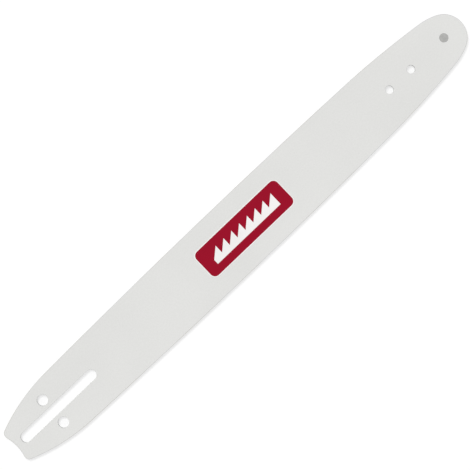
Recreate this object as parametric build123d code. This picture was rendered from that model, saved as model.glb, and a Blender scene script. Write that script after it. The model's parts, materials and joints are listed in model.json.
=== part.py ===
from build123d import *
import os
from math import asin, cos, pi, radians, sin, sqrt

# Laminated guide bar for a small chainsaw, with a sprocket nose.
# Three steel plates are welded face to face: two rail plates, and between them a smaller core plate
# that leaves a groove all round for the chain. A star sprocket turns in the nose on a ring of rollers.
# The bar lies on its lower rail. The origin is the centre of the stud slot, on the lower face.
# +X points along the bar to the nose, +Y across it and +Z up through the plates.
# Lengths are in millimetres and angles in degrees.

# Plates
RAIL_THICKNESS = 1.5
GROOVE_WIDTH = 1.3
GROOVE_DEPTH = 6.0
RAIL_EDGE_CHAMFER = 0.3
HOLE_EDGE_CHAMFER = 0.15
CORE_CORNER_RADIUS = 0.8

# Outline, from the slot centre forward to the nose
BAR_WIDTH = 53.2
BELLY_X = 175.0
CROWN_RADIUS = 6840.0
NOSE_X = 393.5
NOSE_RADIUS = 17.5
NOSE_ARC_STOP = 25.0
CHEEK_RADIUS = 47.0
NOSE_TAPER_LENGTH = 81.5

# Outline, from the slot centre back to the tail
TAIL_TAPER_X = 9.2
TAIL_RADIUS = 148.0
TAIL_NOTCH_RADIUS = 35.0
TAIL_CORNER_RADIUS = 4.0

# Mount on the saw: the stud slot, and a hole on each side for the chain tensioner's pin and the oil
SLOT_WIDTH = 8.2
SLOT_LENGTH = 74.5
SLOT_TAIL_WALL = 5.4
TENSION_HOLE_DIAMETER = 8.4
TENSION_HOLE_X = -5.6
TENSION_HOLE_SPACING = 22.5
OIL_WAY_WIDTH = 2.5

# Two plain holes through the bar behind the nose
NOSE_HOLE_DIAMETER = 6.1
NOSE_HOLE_SETBACK = 33.6
NOSE_HOLE_SPACING = 21.9

# Nose rivet, with its two heads set flush in countersinks
RIVET_SHANK_DIAMETER = 5.0
RIVET_HEAD_LIP = 0.9
RIVET_HEAD_DEPTH = 0.9

# Roller bearing on the rivet
RACE_WALL = 3.0
ROLLER_DIAMETER = 2.0
ROLLER_GAP = 0.1
BEARING_CLEARANCE = 0.03

# Nose sprocket, one tooth for each drive link of the chain
TOOTH_COUNT = 7
TOOTH_TIP_BELOW_RAIL = 0.4
TOOTH_HEIGHT = 5.4
TOOTH_TIP_WIDTH = 3.2
TOOTH_TIP_ROUND = 0.7
GULLET_BOTTOM_WIDTH = 4.6
GULLET_ROUND = 2.0
SPROCKET_SIDE_CLEARANCE = 0.05
SPROCKET_POCKET_CLEARANCE = 0.8

# Printed film on the upper rail
LABEL_X = 189.6
LABEL_LENGTH = 84.0
LABEL_WIDTH = 25.0
LABEL_CORNER_RADIUS = 5.0
LABEL_THICKNESS = 0.1

# Places that follow from the sizes above
CORE_Z = RAIL_THICKNESS
UPPER_RAIL_Z = CORE_Z + GROOVE_WIDTH
BAR_THICKNESS = UPPER_RAIL_Z + RAIL_THICKNESS
NOSE_CENTRE = Vector(NOSE_X, 0)
NOTCH_X = -SLOT_LENGTH / 2 - SLOT_TAIL_WALL
TIP_RADIUS = NOSE_RADIUS - TOOTH_TIP_BELOW_RAIL
RACE_RADIUS = RIVET_SHANK_DIAMETER / 2 + RACE_WALL
ROLLER_ORBIT = RACE_RADIUS + BEARING_CLEARANCE + ROLLER_DIAMETER / 2
ROLLER_COUNT = int(pi / asin((ROLLER_DIAMETER + ROLLER_GAP) / 2 / ROLLER_ORBIT))
SPROCKET_BORE_RADIUS = ROLLER_ORBIT + ROLLER_DIAMETER / 2 + BEARING_CLEARANCE
SPROCKET_THICKNESS = GROOVE_WIDTH - 2 * SPROCKET_SIDE_CLEARANCE
SPROCKET_Z = CORE_Z + SPROCKET_SIDE_CLEARANCE


def top_of_circle(centre, radius, x):
    """The point on the upper side of a circle at this x."""
    return Vector(x, centre.Y + sqrt(radius**2 - (x - centre.X) ** 2))


def upper_crossing(centre_a, radius_a, centre_b, radius_b):
    """The higher of the two points where two circles cross."""
    apart = centre_b - centre_a
    along = (radius_a**2 - radius_b**2 + apart.length**2) / (2 * apart.length)
    aside = sqrt(radius_a**2 - along**2)
    foot = centre_a + apart.normalized() * along
    square = Vector(-apart.Y, apart.X).normalized() * aside
    return max(foot + square, foot - square, key=lambda point: point.Y)


def arc_about(centre, start, end):
    """The shorter arc about a centre from start to end."""
    middle = ((start - centre).normalized() + (end - centre).normalized()).normalized()
    return ThreePointArc(start, centre + middle * (start - centre).length, end)


def bar_outline(inset):
    """The bar's outline, drawn in by inset along its long edges and nose. The tail end stays where it is.

    Every arc touches the next one. The crown is a flat arc with its top at the belly. The nose taper and
    the tail arc touch it from inside, and the cheek arc joins the taper to the round nose.
    """
    crown = Vector(BELLY_X, BAR_WIDTH / 2 - CROWN_RADIUS)
    at_taper = top_of_circle(crown, CROWN_RADIUS, NOSE_X - NOSE_TAPER_LENGTH)
    at_tail = top_of_circle(crown, CROWN_RADIUS, TAIL_TAPER_X)
    taper_normal = (at_taper - crown).normalized()
    tail_normal = (at_tail - crown).normalized()
    nose_normal = Vector(sin(radians(NOSE_ARC_STOP)), cos(radians(NOSE_ARC_STOP)))

    # The taper's radius is the one that touches both the crown and the cheek
    cheek = NOSE_CENTRE - nose_normal * (CHEEK_RADIUS - NOSE_RADIUS)
    from_cheek = at_taper - cheek
    rise = from_cheek.dot(taper_normal) - CHEEK_RADIUS
    taper_radius = (from_cheek.length**2 - CHEEK_RADIUS**2) / (2 * rise)
    taper = at_taper - taper_normal * taper_radius
    cheek_normal = (cheek - taper).normalized()

    tail = at_tail - tail_normal * TAIL_RADIUS
    notch = Vector(NOTCH_X - TAIL_NOTCH_RADIUS, 0)
    corner = upper_crossing(tail, TAIL_RADIUS - inset, notch, TAIL_NOTCH_RADIUS)

    nose_tip = NOSE_CENTRE + Vector(NOSE_RADIUS - inset, 0)
    nose_end = NOSE_CENTRE + nose_normal * (NOSE_RADIUS - inset)
    cheek_end = cheek + cheek_normal * (CHEEK_RADIUS - inset)
    taper_end = at_taper - taper_normal * inset
    belly = crown + Vector(0, CROWN_RADIUS - inset)
    crown_end = at_tail - tail_normal * inset
    upper_edge = Curve() + [
        arc_about(NOSE_CENTRE, nose_tip, nose_end),
        arc_about(cheek, nose_end, cheek_end),
        arc_about(taper, cheek_end, taper_end),
        arc_about(crown, taper_end, belly),
        arc_about(crown, belly, crown_end),
        arc_about(tail, crown_end, corner),
    ]
    notch_arc = ThreePointArc(corner, Vector(NOTCH_X, 0), Vector(corner.X, -corner.Y))
    return make_face(Curve() + [upper_edge, mirror(upper_edge, Plane.XZ), notch_arc])


def tension_hole_places():
    """Centres of the two holes beside the stud slot."""
    return [Pos(TENSION_HOLE_X, side * TENSION_HOLE_SPACING / 2) for side in (1, -1)]


def nose_hole_places():
    """Centres of the two plain holes behind the nose."""
    first = NOSE_X - NOSE_HOLE_SETBACK
    return [Pos(first - step * NOSE_HOLE_SPACING, 0) for step in (0, 1)]


def through_openings():
    """The stud slot and the round holes that go through all three plates."""
    openings = Sketch() + SlotOverall(SLOT_LENGTH, SLOT_WIDTH)
    openings += [place * Circle(TENSION_HOLE_DIAMETER / 2) for place in tension_hole_places()]
    openings += [place * Circle(NOSE_HOLE_DIAMETER / 2) for place in nose_hole_places()]
    return openings


def nose_rivet():
    """A shank with a flush countersunk head at each end, turned about the nose axis."""
    shank = RIVET_SHANK_DIAMETER / 2
    head = shank + RIVET_HEAD_LIP
    profile = Polyline(
        (0, 0),
        (head, 0),
        (shank, RIVET_HEAD_DEPTH),
        (shank, BAR_THICKNESS - RIVET_HEAD_DEPTH),
        (head, BAR_THICKNESS),
        (0, BAR_THICKNESS),
        close=True,
    )
    return Pos(NOSE_X, 0) * revolve(make_face(Plane.XZ * profile), Axis.Z)


def upper_rail_plate():
    """An outer plate at full outline, with its running edge and its openings broken on the outer side."""
    outline = bar_outline(0)
    tail_corners = outline.vertices().sort_by(Axis.X)[:2]
    plate = extrude(fillet(tail_corners, TAIL_CORNER_RADIUS), RAIL_THICKNESS)
    outer_edge = plate.faces().sort_by(Axis.Z)[-1].outer_wire().edges()
    plate = chamfer(outer_edge, RAIL_EDGE_CHAMFER)
    plate -= extrude(through_openings(), RAIL_THICKNESS)
    top = plate.faces().sort_by(Axis.Z)[-1]
    plate = chamfer(top.edges() - top.outer_wire().edges(), HOLE_EDGE_CHAMFER)
    return Pos(0, 0, UPPER_RAIL_Z) * plate - nose_rivet()


def lower_rail_plate():
    """The upper rail turned over about the bar's middle plane."""
    return mirror(upper_rail_plate(), Plane.XY.offset(BAR_THICKNESS / 2))


def core_plate():
    """The inner plate: the outline less the groove, open at the nose for the sprocket, with two oil ways."""
    core = bar_outline(GROOVE_DEPTH)
    core -= Pos(NOSE_X, 0) * Circle(TIP_RADIUS + SPROCKET_POCKET_CLEARANCE)
    corners = core.vertices().sort_by(Axis.X)
    core = fillet(corners[:2] + corners[-2:], CORE_CORNER_RADIUS) - through_openings()
    way_length = BAR_WIDTH / 2
    way_y = TENSION_HOLE_SPACING / 2 + way_length / 2
    for side in (1, -1):
        core -= Pos(TENSION_HOLE_X, side * way_y) * Rectangle(OIL_WAY_WIDTH, way_length)
    return Pos(0, 0, CORE_Z) * extrude(core, GROOVE_WIDTH)


def gullet():
    """The space between two teeth, on +X from the sprocket's centre: wider outwards, with a round bottom."""
    tip_angle = pi / TOOTH_COUNT - asin(TOOTH_TIP_WIDTH / 2 / TIP_RADIUS)
    root = Vector(TIP_RADIUS - TOOTH_HEIGHT, GULLET_BOTTOM_WIDTH / 2)
    tooth_corner = Vector(cos(tip_angle), sin(tip_angle)) * TIP_RADIUS
    mouth = root + (tooth_corner - root) * 2
    flanks = Polyline(root, mouth, (mouth.X, -mouth.Y), (root.X, -root.Y), close=True)
    shape = make_face(flanks)
    return fillet(shape.vertices().sort_by(Axis.X)[:2], GULLET_ROUND)


def nose_sprocket():
    """A flat star with one tooth for each drive link, bored for the rollers."""
    star = Circle(TIP_RADIUS) - PolarLocations(0, TOOTH_COUNT) * gullet()
    tip_edge = TIP_RADIUS - TOOTH_TIP_ROUND
    tip_corners = star.vertices().filter_by(lambda corner: corner.center().length > tip_edge)
    star = fillet(tip_corners, TOOTH_TIP_ROUND) - Circle(SPROCKET_BORE_RADIUS)
    return Pos(NOSE_X, 0, SPROCKET_Z) * extrude(star, SPROCKET_THICKNESS)


def bearing_inner_race():
    """The ring that the rollers run on, held between the rails by the rivet."""
    ring = extrude(Circle(RACE_RADIUS), GROOVE_WIDTH)
    return Pos(NOSE_X, 0, CORE_Z) * ring - nose_rivet()


def bearing_rollers():
    """Short plain rollers side by side round the race, with no cage."""
    roller = extrude(Circle(ROLLER_DIAMETER / 2), SPROCKET_THICKNESS)
    ring = PolarLocations(ROLLER_ORBIT, ROLLER_COUNT)
    return [Pos(NOSE_X, 0, SPROCKET_Z) * place * roller for place in ring]


def side_label():
    """A thin printed film stuck to the upper rail."""
    film = RectangleRounded(LABEL_LENGTH, LABEL_WIDTH, LABEL_CORNER_RADIUS)
    return Pos(LABEL_X, 0, BAR_THICKNESS) * extrude(film, LABEL_THICKNESS)


def main():
    """Builds every piece and writes one STEP file for each."""
    pieces = {
        "upper_rail_plate": upper_rail_plate(),
        "lower_rail_plate": lower_rail_plate(),
        "core_plate": core_plate(),
        "nose_sprocket": nose_sprocket(),
        "bearing_inner_race": bearing_inner_race(),
        "nose_rivet": nose_rivet(),
        "side_label": side_label(),
    }
    for number, roller in enumerate(bearing_rollers(), start=1):
        pieces[f"bearing_roller_{number:02d}"] = roller
    os.makedirs("parts", exist_ok=True)
    for name, piece in pieces.items():
        export_step(piece, f"parts/{name}.step")
    box = pieces["upper_rail_plate"].bounding_box()
    print(f"{len(pieces)} pieces, bar {box.size.X:.2f} long and {box.size.Y:.2f} wide")


main()
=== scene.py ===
# %% [markdown]
# # A chainsaw's guide bar
# The bar is three steel plates welded into one blade: two painted rails, and between them a narrower core
# that leaves a groove for the chain. A small star wheel turns in the nose. The imported model holds every
# piece at its real size, and this lesson gives the pieces their finish.

# %% Load the imported model
import json
from collections import namedtuple
from itertools import groupby
from math import degrees, radians

import bpy
import numpy as np
from mathutils.geometry import delaunay_2d_cdt
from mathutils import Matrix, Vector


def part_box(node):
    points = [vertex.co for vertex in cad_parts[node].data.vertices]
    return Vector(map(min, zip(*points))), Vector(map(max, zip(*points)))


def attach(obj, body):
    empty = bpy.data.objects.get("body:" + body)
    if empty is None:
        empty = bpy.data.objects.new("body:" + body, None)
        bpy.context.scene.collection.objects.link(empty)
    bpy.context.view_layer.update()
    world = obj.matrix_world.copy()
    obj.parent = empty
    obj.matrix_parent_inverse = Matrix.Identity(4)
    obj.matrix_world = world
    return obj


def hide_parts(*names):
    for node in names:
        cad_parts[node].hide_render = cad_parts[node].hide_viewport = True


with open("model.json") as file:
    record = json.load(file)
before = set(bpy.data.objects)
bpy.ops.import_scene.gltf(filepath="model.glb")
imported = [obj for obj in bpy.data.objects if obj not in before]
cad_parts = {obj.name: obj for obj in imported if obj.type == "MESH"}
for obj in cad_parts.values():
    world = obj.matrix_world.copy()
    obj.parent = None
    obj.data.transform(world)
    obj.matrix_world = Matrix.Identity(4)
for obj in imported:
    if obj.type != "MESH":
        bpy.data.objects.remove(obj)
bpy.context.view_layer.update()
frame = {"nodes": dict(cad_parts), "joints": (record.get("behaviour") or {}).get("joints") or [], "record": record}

# %% [markdown]
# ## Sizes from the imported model
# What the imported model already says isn't written again: boxes give the plates' heights, the sprocket's joint
# gives the nose axis, and the bores give the round holes. Blender works in metres. These shapes are worked
# out in millimetres, and a place in the plane is one complex number, x + iy, so that a turn is a product and
# a length is abs().

# %% Read the sizes
MM = 0.001


def box_mm(node):
    """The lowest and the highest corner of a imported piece, in millimetres."""
    return [np.array(corner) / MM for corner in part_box(node)]


def plane_mm(position):
    """A position in metres as a complex number in millimetres, without its height."""
    return complex(position[0], position[1]) / MM


upper_low, upper_high = box_mm("upper_rail_plate")
lower_low, lower_high = box_mm("lower_rail_plate")
bar_bottom = lower_low[2]
bar_top = upper_high[2]
half_width = upper_high[1]
spin = next(joint for joint in frame["joints"] if joint["name"] == "sprocket_spin")
nose = plane_mm(spin["pos_m"])
nose_radius = upper_high[0] - nose.real
bores = [mount for mount in frame["record"]["mounts"] if mount["kind"] == "bore"]
print("nose", nose, "radius", round(nose_radius, 3), "thickness", round(bar_top - bar_bottom, 3))

# %% [markdown]
# ## Arcs that know their normals
# Every edge of this bar is made of circular arcs. An arc could be a Bezier curve, which is only nearly
# round. Here it is centre + radius * e^(it), worked out as one array. The same e^(it) is the outward normal,
# so an edge can later be set back or chamfered exactly.

# %% Arcs
ALONG = 1 + 0j
ACROSS = 1j
STEP_TURN = radians(3)
STEP_LENGTH = 5.0


def unit(vector):
    """The vector divided by its length."""
    return vector / abs(vector)


def arc(centre, radius, start, end):
    """Points centre + radius * e^(it), with t in even steps from one normal to the other and the end left
    out. No step turns by more than STEP_TURN, and none is longer than STEP_LENGTH."""
    sweep = np.angle(end / start)
    steps = int(np.ceil(max(abs(sweep) / STEP_TURN, abs(sweep) * radius / STEP_LENGTH)))
    normals = start * np.exp(1j * sweep * np.arange(steps) / steps)
    return centre + radius * normals, normals


def hollow(centre, radius, start, end):
    """An arc that bends inwards: the same points, with normals that point at the centre."""
    points, spokes = arc(centre, radius, start, end)
    return points, -spokes


print("a quarter of the nose in", len(arc(nose, nose_radius, ALONG, ACROSS)[0]), "steps")

# %% [markdown]
# ## The outline
# From the nose back, each arc touches the next: round nose, cheek, long taper, nearly flat crown, tail, and
# the small round at the tail's corner. A shallow hollow, the notch, closes the tail. Points traced one by
# one would do too, but no stretch of them would be quite round. Here radii and a few places are given, and
# the rest follows: arcs that touch share a normal, and both centres lie along it.

# %% Sizes of the outline
cheek_radius = 47.0
crown_radius = 6840.0
tail_radius = 148.0
corner_radius = 4.0
notch_radius = 35.0
belly_x = 175.0  # where the bar is widest
tail_taper_x = 9.2  # where the crown gives way to the tail
nose_taper_length = 81.5  # from the nose axis back to the crown
nose_arc_stop = 25.0  # degrees before straight across
slot_length = 74.5
slot_width = 8.2
slot_tail_wall = 5.4  # metal between the slot and the notch

crown = belly_x + 1j * (half_width - crown_radius)
notch = complex(-slot_length / 2 - slot_tail_wall - notch_radius)
print("crown centre", np.round(crown, 2), "notch centre", notch)

# %% [markdown]
# The cheek's centre lies on the normal where the round nose stops. The taper is the one arc with no radius
# of its own. It leaves the crown at a known point with a known normal n, and it has to touch the cheek. With
# s from the cheek's centre to that point and c the cheek's radius, its radius is (s.s - c^2) / 2(s.n - c).

# %% Cheek and taper


def on_crown(x):
    """The crown's outward normal above this x: from its centre to the point of its circle there."""
    return unit(x - belly_x + 1j * np.sqrt(crown_radius**2 - (x - belly_x) ** 2))


nose_normal = np.exp(1j * radians(90 - nose_arc_stop))
cheek = nose - nose_normal * (cheek_radius - nose_radius)
taper_normal = on_crown(nose.real - nose_taper_length)
taper_end = crown + taper_normal * crown_radius
span = taper_end - cheek
rise = (span * np.conj(taper_normal)).real - cheek_radius
taper_radius = (abs(span) ** 2 - cheek_radius**2) / (2 * rise)
taper = taper_end - taper_normal * taper_radius
cheek_normal = unit(cheek - taper)
print("taper radius", round(taper_radius, 1), "mm")

# %% [markdown]
# The tail touches the crown from inside. The round at its corner touches the tail from inside and the notch
# from outside, so its centre is where two circles about their centres cross.

# %% Tail and its corner


def upper_crossing(a, radius_a, b, radius_b):
    """The upper point where two circles cross: from a towards b by (ra^2 - rb^2 + d^2) / 2d, and square to
    that by the root of ra^2 less its square."""
    apart = b - a
    along = (radius_a**2 - radius_b**2 + abs(apart) ** 2) / (2 * abs(apart))
    aside = np.sqrt(radius_a**2 - along**2)
    ends = a + unit(apart) * (along + 1j * aside * np.array([1, -1]))
    return ends[np.argmax(ends.imag)]


tail_normal = on_crown(tail_taper_x)
tail = crown + tail_normal * (crown_radius - tail_radius)
corner = upper_crossing(tail, tail_radius - corner_radius, notch, notch_radius + corner_radius)
corner_normal = unit(corner - tail)
notch_normal = unit(corner - notch)
print("corner centre", np.round(corner, 2))

# %% [markdown]
# The arcs are now joined into one closed path, counterclockwise as seen from above. The lower edge is the
# mirror image of the upper one, run backwards. The tail's middle belongs to neither and goes in between.

# %% Join the arcs


def joined(arcs):
    """One path from several arcs: all their points in a row, and all their normals."""
    return tuple(np.concatenate(column) for column in zip(*arcs))


upper_edge = joined([
    arc(nose, nose_radius, ALONG, nose_normal),
    arc(cheek, cheek_radius, nose_normal, cheek_normal),
    arc(taper, taper_radius, cheek_normal, taper_normal),
    arc(crown, crown_radius, taper_normal, ACROSS),
    arc(crown, crown_radius, ACROSS, tail_normal),
    arc(tail, tail_radius, tail_normal, corner_normal),
    arc(corner, corner_radius, corner_normal, -notch_normal),
    hollow(notch, notch_radius, notch_normal, ALONG),
])
tail_middle = np.array([notch + notch_radius]), np.array([-ALONG])
lower_edge = [np.conj(column[:0:-1]) for column in upper_edge]
outline = joined([upper_edge, tail_middle, lower_edge])
print("outline points", len(outline[0]), "length", round(np.ptp(outline[0].real), 2), "mm")

# %% [markdown]
# ## Openings
# The stud slot takes the saw's two bar studs, the two holes beside it take the tensioner's pin and the oil,
# and the two near the nose are for hanging. They could be circles from Blender's Add menu, but those bring no
# normals for a chamfer to follow. Here a round hole is one array of points and one of normals, and the slot
# is two half circles with straight walls between them. All run clockwise, so that the metal lies on the same
# side of the path as it does on the outline.

# %% Holes and the stud slot


def round_hole(centre, radius, count=72):
    """Points centre + radius * e^(-it) all the way round, with normals that point into the hole."""
    spokes = np.exp(-2j * np.pi * np.arange(count) / count)
    return centre + radius * spokes, -spokes


def long_slot(length, width, count=36):
    """A half circle of the slot's width at each end, with normals that point into the slot."""
    half = 1j * np.exp(-1j * np.pi * np.arange(count + 1) / count)
    spokes = np.concatenate([half, -half])
    ends = np.repeat([(length - width) / 2, (width - length) / 2], count + 1)
    return ends + width / 2 * spokes, -spokes


openings = [long_slot(slot_length, slot_width)]
openings += [round_hole(plane_mm(bore["pos_m"]), bore["dims"]["r_mm"]) for bore in bores]
print("openings", len(openings))

# %% [markdown]
# ## Plates from paths and profiles
# A plate could be a block with its holes cut by booleans. Here each path carries a small profile of insets
# and heights instead, from the lower face to the upper one, and ring after ring of points makes the walls
# and their chamfers. This way every hole is as round as its path, and every wall can have its own finish.

# %% Walls


def raised(plane, height):
    """Places in the plane as points x, y, z at this height."""
    return np.stack(np.broadcast_arrays(plane.real, plane.imag, height), axis=-1)


def carried(path, profile):
    """Rings of points, one for each pair of inset and height in the profile: path point less its normal
    times the inset, at that height."""
    points, normals = path
    inset, height = np.array(profile, float).T
    return raised(points - np.outer(inset, normals), height[:, None])


def wall_faces(grid):
    """Quads on a grid of point numbers, one row for each ring: points i and i + 1 of one ring and of the
    next, closed at the end."""
    after = np.roll(grid, -1, axis=1)
    quads = np.stack([grid[:-1], after[:-1], after[1:], grid[1:]], axis=-1)
    return quads.reshape(-1, 4)


print("a wall of 3 rings with 72 points has", len(wall_faces(np.arange(3 * 72).reshape(3, 72))), "faces")

# %% [markdown]
# A face in Blender can't have holes, so the flat sides are filled with triangles. Blender's constrained
# triangulation keeps every ring as an edge. It fills the holes too, but it also says which loops each
# triangle lies in. So what lies in a hole can be left out, and what lies in a printed field can get a finish
# of its own.

# %% Flat faces
FILL_INSIDE = 1
SAME_POINT = 1e-7


def flat_faces(points, loops):
    """Triangles that fill the first loop of point numbers, and for each one the last loop that it lies in.
    The first loop runs counterclockwise and the others clockwise. The filling wants all counterclockwise."""
    used = np.concatenate(loops)
    ends = np.cumsum([len(loop) for loop in loops])
    outer, *inner = np.split(np.arange(len(used)), ends[:-1])
    fields = [outer.tolist()] + [field[::-1].tolist() for field in inner]
    filled = delaunay_2d_cdt(points[used, :2].tolist(), [], fields, FILL_INSIDE, SAME_POINT)
    triangles, enclosing = filled[2], filled[5]
    return used[np.array(triangles)], np.array([max(within) for within in enclosing])


square = np.array([[0, 0], [3, 0], [3, 3], [0, 3], [1, 1], [1, 2], [2, 2], [2, 1]], float)
square_loops = np.arange(8).reshape(2, 4)
print("a square and its hole in", np.bincount(flat_faces(square, square_loops)[1]), "triangles")

# %% [markdown]
# ## A map of the surface
# Other programs don't know Blender's nodes, so the export bakes the finish into pictures, and a picture
# needs a flat map of the surface. Blender can lay one out by itself. It goes by area, though, and a chamfer
# of a third of a millimetre then gets less than a pixel. Here every wall is unrolled into a band right across
# the map, a higher one where it has more strips, and the flat faces lie above the walls.

# %% Map places
MAP_NAME = "OFBake"
MAP_MARGIN = 0.004


def unrolled(rings, count):
    """Each quad corner's place on the unrolled wall: how far round and how far up, from 0 to 1."""
    ring, i = np.mgrid[: rings - 1, :count]
    across = np.stack([i, i + 1, i + 1, i], axis=-1) / count
    up = np.stack([ring, ring, ring + 1, ring + 1], axis=-1) / (rings - 1)
    return np.stack([across, up], axis=-1).reshape(-1, 2)


def spread(points, triangles):
    """Each triangle corner's place on the flat face: how far along and how far across, from 0 to 1."""
    plane = points[triangles.ravel(), :2]
    return (plane - plane.min(axis=0)) / np.ptp(plane, axis=0)


def banded(places, bottom, top):
    """Places from 0 to 1 moved into the band between two heights of the map, with a margin all round."""
    start = np.array([0, bottom]) + MAP_MARGIN
    end = np.array([1, top]) - MAP_MARGIN
    return start + places * (end - start)


print("a wall of 3 rings with 72 points takes", len(unrolled(3, 72)), "map places")

# %% [markdown]
# A mesh is put together from patches. A patch is a wall, or those strips of it that share a finish, or the
# part of a flat face that one loop encloses. It holds its faces, the number of its finish, its places on the
# map and the strips that it takes there.

# %% Patches
Patch = namedtuple("Patch", "faces finish places strips")
FLAT_STRIPS = 6
HOLE = -1


def numbered(blocks):
    """All points of several blocks of rings in one list, and for each block the grid of its numbers."""
    points = np.concatenate([block.reshape(-1, 3) for block in blocks])
    ends = np.cumsum([block[:, :, 0].size for block in blocks])
    numbers = np.split(np.arange(len(points)), ends[:-1])
    return points, [number.reshape(block.shape[:2]) for number, block in zip(numbers, blocks)]


def wall_patches(grid, finishes):
    """A wall's patches, with a strip on the map for each step from ring to ring. A wall has one finish, or
    one for each strip, and strips in a row with the same finish make one patch."""
    patches = []
    first = 0
    for finish, run in groupby(np.broadcast_to(finishes, len(grid) - 1).tolist()):
        last = first + len(list(run))
        rings = grid[first : last + 1]
        patches.append(Patch(wall_faces(rings), finish, unrolled(*rings.shape), last - first))
        first = last
    return patches


def flat_patches(points, loops, finishes, turn):
    """A patch for each loop that isn't a hole, facing up with a turn of 1 and down with -1."""
    triangles, inside = flat_faces(points, loops)
    patches = []
    for loop, finish in enumerate(finishes):
        if finish != HOLE:
            field = triangles[inside == loop, ::turn]
            patches.append(Patch(field, finish, spread(points, field), FLAT_STRIPS))
    return patches


print("patches of the square", len(flat_patches(square, square_loops, [0, HOLE], 1)))

# %% [markdown]
# Points and patches become a piece at the origin, with its place in its mesh. Blender takes whole arrays
# through foreach_set, which is far quicker than going face by face. Edges that turn by more than 25 degrees
# stay crisp, and the rest are shaded smooth.

# %% From patches to a piece
CRISP = radians(25)


def laid_out(patches):
    """All map places, patch by patch. A patch's band is as high as its share of all strips."""
    strips = np.array([patch.strips for patch in patches])
    edges = np.append(0, np.cumsum(strips)) / strips.sum()
    bands = zip(patches, edges[:-1], edges[1:])
    return np.concatenate([banded(patch.places, bottom, top) for patch, bottom, top in bands])


def built(name, points, patches, finishes):
    """A Blender object from points in millimetres and the patches on them."""
    mesh = bpy.data.meshes.new(name)
    mesh.from_pydata(points * MM, [], [face for patch in patches for face in patch.faces.tolist()])
    for finish in finishes:
        mesh.materials.append(finish)
    numbers = np.repeat([patch.finish for patch in patches], [len(patch.faces) for patch in patches])
    mesh.polygons.foreach_set("material_index", numbers.astype(np.int32))
    mesh.polygons.foreach_set("use_smooth", np.ones(len(numbers), bool))
    mesh.set_sharp_from_angle(angle=CRISP)
    surface_map = mesh.uv_layers.new(name=MAP_NAME)
    surface_map.uv.foreach_set("vector", laid_out(patches).astype(np.float32).ravel())
    piece = bpy.data.objects.new(name, mesh)
    bpy.context.scene.collection.objects.link(piece)
    print(name, "faces", len(numbers))
    return piece


print("edges stay crisp over", round(degrees(CRISP)), "degrees")

# %% [markdown]
# A plate is then all its walls and its two flat faces in one closed mesh. The first wall is the outer one,
# and the others go round the holes. The edge of a printed field is a wall too, laid flat in the upper face.
# Its last ring is a hole in that face, and its first ring is filled again.

# %% Plates


def plate(name, walls, face_finishes, finishes, fields=()):
    """A closed piece from walls and fields, each a path, a profile and its finishes. The lower and the upper
    face have finishes of their own. What a field's first ring encloses takes the field's first finish."""
    sides = [*walls, *fields]
    points, grids = numbered([carried(path, profile) for path, profile, _ in sides])
    patches = []
    for grid, (_, _, strips) in zip(grids, sides):
        patches += wall_patches(grid, strips)
    below = [grid[0] for grid in grids[: len(walls)]]
    above = [grid[-1] for grid in grids] + [grid[0] for grid in grids[len(walls) :]]
    lower = [face_finishes[0]] + [HOLE] * (len(walls) - 1)
    upper = [face_finishes[1]] + [HOLE] * (len(sides) - 1) + [strips[0] for _, _, strips in fields]
    patches += flat_patches(points, below, lower, -1)
    patches += flat_patches(points, above, upper, 1)
    return built(name, points, patches, finishes)


print("walls of a rail: its outline,", len(openings), "openings and the rivet's hole")

# %% [markdown]
# ## Nodes in few words
# Materials could be wired by hand in the Shader Editor. In code, one helper makes a node and another gives
# its inputs their values and links. Three more wrap the nodes that come back most: Math, Map Range, which
# turns one span of values into another, and Noise.

# %% Node helpers
NOISE_SPAN = (0.3, 0.7)


def fill(tree, node, inputs):
    """Gives each input, by its name or number, a value or a link from another node's output."""
    for key, value in inputs.items():
        if isinstance(value, bpy.types.NodeSocket):
            tree.links.new(value, node.inputs[key])
        else:
            node.inputs[key].default_value = value


def add(tree, kind, inputs=None, **settings):
    """A new node of this kind, with its settings and its inputs."""
    node = tree.nodes.new(kind)
    for key, value in settings.items():
        setattr(node, key, value)
    fill(tree, node, inputs or {})
    return node


def maths(tree, operation, *values):
    """The result of a Math node."""
    return add(tree, "ShaderNodeMath", dict(enumerate(values)), operation=operation).outputs[0]


def ranged(tree, value, span, to_span):
    """The result of a Map Range node: one span of values becomes another, and stops at its ends."""
    ends = {"From Min": span[0], "From Max": span[1], "To Min": to_span[0], "To Max": to_span[1]}
    return add(tree, "ShaderNodeMapRange", {"Value": value} | ends).outputs[0]


def noise(tree, place, scale, detail):
    """The value of a Noise node, which lies about 0.5 and seldom leaves NOISE_SPAN."""
    return add(tree, "ShaderNodeTexNoise", {"Vector": place, "Scale": scale, "Detail": detail}).outputs[0]


print("node helpers", [helper.__name__ for helper in (fill, add, maths, ranged, noise)])

# %% [markdown]
# ## Effects that several finishes share
# No real surface is one even value. Three effects come back on this bar, so each is a node group: a slow
# drift over centimetres, as sprayed paint and rolled steel have, fine lines drawn out in one direction, as
# grinding and rolling leave, and the fine skin of a sprayed or printed film. Images could hold them, but
# noise has no seams and no edges. All three read Object coordinates, in metres. For the lines these are
# stretched first: the more a coordinate is stretched, the faster the noise changes along it.

# %% Node groups
DRIFT_SPAN = (0.35, 0.65)


def new_group(name, inputs, output):
    """An empty node group with its inputs and one output: the group, the place on the object, what the group
    is given, and the node that takes its result."""
    group = bpy.data.node_groups.new(name, "ShaderNodeTree")
    for key, value in inputs.items():
        kind = "NodeSocketVector" if isinstance(value, tuple) else "NodeSocketFloat"
        group.interface.new_socket(key, in_out="INPUT", socket_type=kind).default_value = value
    group.interface.new_socket(output, in_out="OUTPUT", socket_type="NodeSocketFloat")
    place = add(group, "ShaderNodeTexCoord").outputs["Object"]
    return group, place, add(group, "NodeGroupInput").outputs, add(group, "NodeGroupOutput")


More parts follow.
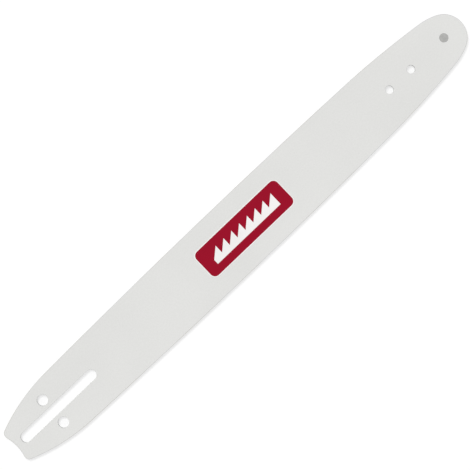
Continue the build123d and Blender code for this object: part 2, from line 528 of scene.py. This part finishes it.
drift_inputs = {"Scale": 12.0, "Low": 0.98, "High": 1.02}
slow_drift, place, given, result = new_group("slow_drift", drift_inputs, "Value")
cloud = noise(slow_drift, place, scale=given["Scale"], detail=2.0)
level = ranged(slow_drift, cloud, DRIFT_SPAN, (given["Low"], given["High"]))
fill(slow_drift, result, {"Value": level})

drawn_lines, place, given, result = new_group("drawn_lines", {"Stretch": (30.0, 30.0, 6000.0)}, "Height")
stretched = add(drawn_lines, "ShaderNodeVectorMath", {0: place, 1: given["Stretch"]}, operation="MULTIPLY")
fill(drawn_lines, result, {"Height": noise(drawn_lines, stretched.outputs[0], scale=1.0, detail=3.0)})

fine_skin, place, given, result = new_group("fine_skin", {"Scale": 900.0}, "Height")
fill(fine_skin, result, {"Height": noise(fine_skin, place, scale=given["Scale"], detail=1.5)})
print("groups", [group.name for group in bpy.data.node_groups])

# %% [markdown]
# ## Starting a finish
# A finish is a material with one Principled shader. What is the same all over is set on the shader's own
# sockets. Only what changes over the surface is linked: a tone that drifts, a mix of two colours, or a bump.

# %% Finish helpers


def new_finish(name):
    """A material, its node tree and its Principled shader."""
    material = bpy.data.materials.new(name)
    material.use_nodes = True
    return material, material.node_tree, material.node_tree.nodes["Principled BSDF"]


def effect(tree, group, **inputs):
    """The result of one of the shared effects, with this finish's own values."""
    return add(tree, "ShaderNodeGroup", node_tree=group, inputs=inputs).outputs[0]


def blended(tree, mask, first, second):
    """The first colour where the mask is 0, and the second where it is 1. A Mix node has its colours on
    inputs 6 and 7 and their result on output 2."""
    return add(tree, "ShaderNodeMix", {0: mask, 6: first, 7: second}, data_type="RGBA").outputs[2]


def toned(tree, colour, factor):
    """A colour times a factor that changes over the surface."""
    grey = add(tree, "ShaderNodeCombineColor", {0: factor, 1: factor, 2: factor}).outputs[0]
    settings = {"data_type": "RGBA", "blend_type": "MULTIPLY"}
    return add(tree, "ShaderNodeMix", {0: 1.0, 6: colour, 7: grey}, **settings).outputs[2]


def bumped(tree, height, depth):
    """A normal that follows the height, where a height of 1 stands depth metres above 0."""
    return add(tree, "ShaderNodeBump", {"Height": height, "Distance": depth, "Strength": 1.0}).outputs[0]


print("finish helpers", [helper.__name__ for helper in (new_finish, effect, blended, toned, bumped)])

# %% [markdown]
# ## Rail paint
# The rails' sides have a pale grey satin paint. From a step away one flat grey would do, but close up it
# would look like plastic. Sprayed paint is never quite even: its tone drifts by about one part in a hundred,
# the gloss drifts too, and the skin has a faint orange peel of about a millimetre. The same fine noise gives
# the peel its relief and a faint speckle, so that the two agree.

# %% Paint
paint_grey = (0.744, 0.744, 0.728, 1)
peel_depth = 2e-5

rail_paint, tree, shader = new_finish("rail_paint")
skin = effect(tree, fine_skin, Scale=900.0)
speckle = ranged(tree, skin, NOISE_SPAN, (0.982, 1.018))
drift = effect(tree, slow_drift, Scale=14.0, Low=0.986, High=1.014)
fill(tree, shader, {
    "Metallic": 0.0,
    "Base Color": toned(tree, paint_grey, maths(tree, "MULTIPLY", drift, speckle)),
    "Roughness": effect(tree, slow_drift, Scale=40.0, Low=0.38, High=0.48),
    "Normal": bumped(tree, skin, peel_depth),
})
print("finish", rail_paint.name)

# %% [markdown]
# ## Bare steels
# The running edges are ground bright after painting. Their fine lines lie along the edge, so the noise
# changes fast with height and slowly along the bar, and hardening leaves a faint straw tint. The core and the
# inner faces are plain rolled plate. The sprocket is stamped and hardened, and the bearing's steel is the
# finest. Anisotropic gloss could hint at the lines, but from close by only a bump shows them.

# %% Steels
LINE_SHADE = (0.88, 1.08)
LINE_GLOSS = 0.06


def steel(name, colour, tint, rough, stretch, depth):
    """A bare steel: its tone drifts from colour to tint, and drawn lines give it relief and change its
    gloss."""
    material, tree, shader = new_finish(name)
    height = effect(tree, drawn_lines, Stretch=stretch)
    tone = blended(tree, effect(tree, slow_drift, Scale=25.0, Low=0.0, High=1.0), colour, tint)
    fill(tree, shader, {
        "Metallic": 1.0,
        "Base Color": toned(tree, tone, ranged(tree, height, NOISE_SPAN, LINE_SHADE)),
        "Roughness": ranged(tree, height, NOISE_SPAN, (rough - LINE_GLOSS, rough + LINE_GLOSS)),
        "Normal": bumped(tree, height, depth),
    })
    print("finish", name)
    return material


edge_steel = steel(
    "edge_steel", colour=(0.60, 0.60, 0.61, 1), tint=(0.53, 0.51, 0.48, 1),
    rough=0.34, stretch=(60, 60, 9000), depth=1e-5)
core_steel = steel(
    "core_steel", colour=(0.34, 0.34, 0.35, 1), tint=(0.26, 0.26, 0.27, 1),
    rough=0.48, stretch=(60, 900, 900), depth=1e-5)
sprocket_steel = steel(
    "sprocket_steel", colour=(0.44, 0.44, 0.45, 1), tint=(0.38, 0.36, 0.33, 1),
    rough=0.36, stretch=(1500, 1500, 300), depth=1e-5)
bearing_steel = steel(
    "bearing_steel", colour=(0.58, 0.58, 0.59, 1), tint=(0.54, 0.54, 0.55, 1),
    rough=0.22, stretch=(300, 300, 6000), depth=4e-6)

# %% [markdown]
# ## The two rails
# Both rails are the same plate, and the lower one is turned over. The outer side has a small chamfer along
# the running edge and a smaller one round each opening, and the rivet's hole widens into its countersink.
# Paint covers the outer face and the holes, the running edge is bare, and the inner face is plain steel. A
# mirrored copy would have its faces inside out, so one function builds both rails from their heights.

# %% Rails
edge_chamfer = 0.3
hole_chamfer = 0.15
rivet_lip = 0.9
rivet_sink = 0.9
rivet_shank = 2.5
PAINT, GROUND, PLAIN = range(3)
rail_finishes = [rail_paint, edge_steel, core_steel]


def rail_wall(widen, deep, inner, outer):
    """A wall from the inner face to the outer one, set back by widen over the last deep, as insets and
    heights from below."""
    out = np.sign(outer - inner)
    profile = [(0, inner), (0, outer - out * deep), (widen, outer)]
    return sorted(profile, key=lambda pair: pair[1])


def rail(name, node, inner, outer):
    """A rail between these two heights, with its outline, its openings and the rivet's hole."""
    walls = [(outline, rail_wall(edge_chamfer, edge_chamfer, inner, outer), GROUND)]
    walls += [(path, rail_wall(hole_chamfer, hole_chamfer, inner, outer), PAINT) for path in openings]
    walls += [(round_hole(nose, rivet_shank), rail_wall(rivet_lip, rivet_sink, inner, outer), PLAIN)]
    face_finishes = (PLAIN, PAINT) if outer > inner else (PAINT, PLAIN)
    piece = plate(name, walls, face_finishes, rail_finishes)
    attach(piece, "bar")
    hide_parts(node)


rail("upper_rail", "upper_rail_plate", upper_low[2], bar_top)
rail("lower_rail", "lower_rail_plate", lower_high[2], bar_bottom)

# %% [markdown]
# ## The nose rivet
# The rivet holds the nose bearing between the rails and is pressed flush on both sides. The forming tool
# leaves a shallow dish, fine rings round its centre, and a narrow seam where the rim meets the countersink.
# The rings are far finer than the mesh, so they are a bump: a sine of the distance from the nose axis.

# %% Rivet steel
rivet_grey = (0.445, 0.445, 0.434, 1)
ring_pitch = 0.45 * MM
ring_depth = 2e-6

rivet_steel, tree, shader = new_finish("rivet_steel")
place = add(tree, "ShaderNodeTexCoord").outputs["Object"]
centred = add(tree, "ShaderNodeMapping", {"Vector": place, "Location": (-nose.real * MM, 0, 0)}).outputs[0]
flat = add(tree, "ShaderNodeVectorMath", {0: centred, 1: (1, 1, 0)}, operation="MULTIPLY").outputs[0]
from_axis = add(tree, "ShaderNodeVectorMath", {0: flat}, operation="LENGTH").outputs["Value"]
rings = maths(tree, "SINE", maths(tree, "MULTIPLY", from_axis, 2 * np.pi / ring_pitch))
fill(tree, shader, {
    "Metallic": 1.0,
    "Base Color": toned(tree, rivet_grey, effect(tree, slow_drift, Scale=500.0, Low=0.94, High=1.06)),
    "Roughness": ranged(tree, rings, (-1, 1), (0.34, 0.44)),
    "Normal": bumped(tree, rings, ring_depth),
})
print("finish", rivet_steel.name)

# %% [markdown]
# The body is turned, so it could come from the Screw modifier. A profile carried round a circle gives the
# same, in a closed mesh. The head's profile is listed once, from the rim to the middle of the dish, as inset
# and depth below the face. The lower head is the same list turned over, and the shank joins the two.

# %% Rivet
rivet_steps = 96
rim_profile = [(0.0, 0.12), (0.02, 0.05), (0.08, 0.01), (0.16, 0.0)]
dish_profile = [(1.0, 0.0), (1.5, 0.02), (2.1, 0.06), (3.0, 0.08)]

head_profile = rim_profile + dish_profile
lower_head = [(inset, bar_bottom + depth) for inset, depth in reversed(head_profile)]
shank = [(rivet_lip, bar_bottom + rivet_sink), (rivet_lip, bar_top - rivet_sink)]
upper_head = [(inset, bar_top - depth) for inset, depth in head_profile]
rivet_profile = lower_head + shank + upper_head

spokes = np.exp(2j * np.pi * np.arange(rivet_steps) / rivet_steps)
rivet_path = nose + (rivet_shank + rivet_lip) * spokes, spokes
rivet = plate("rivet", [(rivet_path, rivet_profile, 0)], (0, 0), [rivet_steel])
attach(rivet, "bar")
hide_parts("nose_rivet")

# %% [markdown]
# ## The label's inks
# A thin printed film lies on the upper rail: red with a pale border, and a plain row of saw teeth in its
# middle. The print could be an image, or masks in one material. Here each colour is a field of faces with an
# ink of its own, so that its edge stays sharp however close one looks. The inks are rather dull, because a
# glossy print seen from low down shows less of its colour than of the white room.

# %% Inks
film_skin_depth = 6e-6


def ink(name, colour):
    """A colour printed on dull film: tone and gloss drift a little, and the film has a fine skin."""
    material, tree, shader = new_finish(name)
    fill(tree, shader, {
        "Metallic": 0.0,
        "Specular IOR Level": 0.1,
        "Base Color": toned(tree, colour, effect(tree, slow_drift, Scale=60.0, Low=0.98, High=1.02)),
        "Roughness": effect(tree, slow_drift, Scale=90.0, Low=0.50, High=0.60),
        "Normal": bumped(tree, effect(tree, fine_skin, Scale=1400.0), film_skin_depth),
    })
    print("finish", name)
    return material


RED, PALE = range(2)
inks = [ink("label_red", (0.311, 0.0041, 0.0205, 1)), ink("label_pale", (0.89, 0.875, 0.865, 1))]

# %% [markdown]
# ## The label's film
# The film is a rounded rectangle a tenth of a millimetre thick, with a softened rim. A box and the Bevel
# modifier would do for that, but the pale border needs a strip of faces of its own. So the film is a plate
# too. Its path is four quarter circles, each about its own corner centre, and the straight sides come by
# themselves between them. The last two steps of the profile run in over the top: the border, and a narrow
# strip of red.
#
# That strip is for the export. Where two colours meet on the map, a baked picture mixes them over about a
# pixel, and a round or slanting edge then looks ragged. On an unrolled strip the same edge is straight.

# %% Label film
label_corner = 5.0
corner_steps = 16
border_width = 0.7
rim_round = 0.04
print_edge = 0.1

label_low, label_high = box_mm("side_label")
label_size = label_high - label_low
label_middle = complex(*(label_low + label_high)[:2] / 2)
quarter = np.exp(0.5j * np.pi * np.arange(corner_steps + 1) / corner_steps)
spokes = np.concatenate([quarter, 1j * quarter, -quarter, -1j * quarter])
signs = np.repeat(np.array([[1, 1], [-1, 1], [-1, -1], [1, -1]]), len(quarter), axis=0)
corner_centres = label_middle + (signs * (label_size[:2] / 2 - label_corner)) @ np.array([1, 1j])
film_path = corner_centres + label_corner * spokes, spokes
film_profile = [
    (0, label_low[2]),
    (0, label_high[2] - rim_round),
    (rim_round, label_high[2]),
    (border_width, label_high[2]),
    (border_width + print_edge, label_high[2]),
]
film = film_path, film_profile, [PALE, PALE, PALE, RED]
print("film", label_size.round(3), "mm")

# %% [markdown]
# The teeth are one printed field in the red. They could be a second sheet laid on the first, but ink has
# hardly any height, so they are faces of the film itself. Each tooth climbs from its root to its tip and
# drops straight down to the next root, and the row is closed along its foot. Heights are measured from the
# label's middle. A strip of each colour runs along the row's edge. At its sharp corners the strips are
# mitred, so the normals there are longer than 1.

# %% Teeth and label
tooth_pitch = 8.0
tooth_count = 8
row_foot = -5.5
row_root = -1.5
row_tip = 5.5


def mitred(corners):
    """A closed path through corners that run clockwise. The normals point into the field: each is
    (m + n) / (1 + m.n), where m and n are the normals of the two edges that meet there."""
    ahead = -1j * unit(np.roll(corners, -1) - corners)
    behind = np.roll(ahead, 1)
    return corners, (behind + ahead) / (1 + (behind * np.conj(ahead)).real)


row_half = tooth_count * tooth_pitch / 2
roots = tooth_pitch * np.arange(tooth_count) - row_half + 1j * row_root
tips = roots + tooth_pitch + 1j * (row_tip - row_root)
foot = np.array([row_half, -row_half]) + 1j * row_foot
row_path = mitred(label_middle + np.append(np.stack([roots, tips], axis=-1), foot))
row_profile = [(inset, label_high[2]) for inset in (-print_edge, 0, print_edge)]
tooth_row = row_path, row_profile, [PALE, RED]
label = plate("label", [film], (PALE, RED), inks, [tooth_row])
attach(label, "bar")
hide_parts("side_label")

# %% [markdown]
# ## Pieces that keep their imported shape
# The core and the sprocket show only their edges, in the groove and in the openings, and the bearing is out
# of sight. They could be built again as the rails were, but they are exact already and nothing would look
# better. So they keep their meshes and get their steels.

# %% Core, sprocket and bearing
kept = {"core_plate": core_steel, "nose_sprocket": sprocket_steel, "bearing_inner_race": bearing_steel}
kept.update({name: bearing_steel for name in frame["nodes"] if name.startswith("bearing_roller")})
for name, finish in kept.items():
    frame["nodes"][name].data.materials.clear()
    frame["nodes"][name].data.materials.append(finish)
print("kept", len(kept))

# %% [markdown]
# ## Floor
# The bar lies on a plain white floor. Stronger lamps could make it white, but they would wash out the paint.
# Here the floor gives some light of its own, to the camera and to reflections alone. The rest of its
# brightness comes from the lamps, so that the bar's shadow still falls on it. It lies a hair below the bar,
# because two faces in one place flicker.

# %% Floor
WHITE = (1, 1, 1, 1)
FLOOR_GLOW = 0.66
FLOOR_GREY = 0.37
FLOOR_SIDE = 40.0
FLOOR_GAP = 0.0001


def seen_directly(tree):
    """1 for rays from the camera, in reflections and in glass, and 0 for the rays that carry soft light."""
    rays = add(tree, "ShaderNodeLightPath").outputs
    reflected = maths(tree, "MAXIMUM", rays["Is Glossy Ray"], rays["Is Transmission Ray"])
    return maths(tree, "MAXIMUM", rays["Is Camera Ray"], reflected)


floor_white, tree, shader = new_finish("floor_white")
fill(tree, shader, {
    "Base Color": (FLOOR_GREY, FLOOR_GREY, FLOOR_GREY, 1),
    "Roughness": 0.9,
    "Specular IOR Level": 0.0,
    "Emission Color": WHITE,
    "Emission Strength": maths(tree, "MULTIPLY", seen_directly(tree), FLOOR_GLOW),
})
floor_corners = FLOOR_SIDE / 2 * np.array([-1 - 1j, 1 - 1j, 1 + 1j, -1 + 1j])
floor_mesh = bpy.data.meshes.new("floor")
floor_mesh.from_pydata(raised(floor_corners, -FLOOR_GAP), [], [(0, 1, 2, 3)])
floor_mesh.materials.append(floor_white)
floor = bpy.data.objects.new("floor", floor_mesh)
bpy.context.scene.collection.objects.link(floor)
print("floor", FLOOR_SIDE, "m square")

# %% [markdown]
# ## Light
# An even white sky fills the shadows, and a broad key lamp high on the left gives them their direction.
# Together they light the bar at a plain level, so that a colour comes out about as it is written. Area lamps
# could do the same, but their light falls off with distance, and a sun's is even from tail to nose. The key
# is kept out of reflections. Metal shows the white room instead, and one low soft light that only reflections
# see. That one is weak, so that the grey rivet still stands out from the paint.

# %% Sky and lamps
SKY = 0.48

world = bpy.data.worlds.new("studio")
bpy.context.scene.world = world
world.use_nodes = True
sky_level = ranged(world.node_tree, seen_directly(world.node_tree), (0, 1), (SKY, 1.0))
fill(world.node_tree, world.node_tree.nodes["Background"], {"Color": WHITE, "Strength": sky_level})


def broad_sun(name, level, lean, heading, width):
    """A soft lamp at this lean from straight above. Level 1 lights a white level surface to white, so its
    strength is the level times pi, divided by the cosine of the lean."""
    lamp = bpy.data.lights.new(name, "SUN")
    lamp.angle = radians(width)
    lamp.energy = level * np.pi / np.cos(radians(lean))
    sun = bpy.data.objects.new(name, lamp)
    sun.rotation_euler = (0, radians(lean), radians(heading))
    bpy.context.scene.collection.objects.link(sun)
    return sun


key = broad_sun("key", level=0.52, lean=24, heading=81, width=22)
key.visible_glossy = False
sheen = broad_sun("sheen", level=0.03, lean=62, heading=105, width=50)
sheen.visible_diffuse = False
print("lamps", len(bpy.data.lights))

# %% [markdown]
# ## Camera
# The picture looks straight down, with the bar turned so that its nose points up and to the right. An
# orthographic camera would show no perspective at all. A long lens far away comes close to that, and the
# walls of the holes still show a little. The scale is set on the upper face, and the rivet is put at its own
# pixel.

# %% Camera
PIXELS = 470
MM_PER_PIXEL = 0.7384
TURN = radians(43.7)
LENS = 250.0
SENSOR = 36.0
FARTHEST = 100.0
rivet_pixel = 443.83 + 37.79j

off_centre = np.conj(rivet_pixel - (PIXELS / 2) * (1 + 1j)) * MM_PER_PIXEL
aim = nose - off_centre * np.exp(-1j * TURN)
distance = PIXELS * MM_PER_PIXEL * LENS / SENSOR
lens = bpy.data.cameras.new("camera")
lens.lens = LENS
lens.sensor_width = SENSOR
lens.clip_end = FARTHEST
camera = bpy.data.objects.new("camera", lens)
camera.location = raised(aim, bar_top + distance) * MM
camera.rotation_euler = (0, 0, -TURN)
bpy.context.scene.collection.objects.link(camera)
bpy.context.scene.camera = camera
bpy.context.scene.view_settings.view_transform = "Standard"
print("camera", [round(v, 4) for v in camera.location])
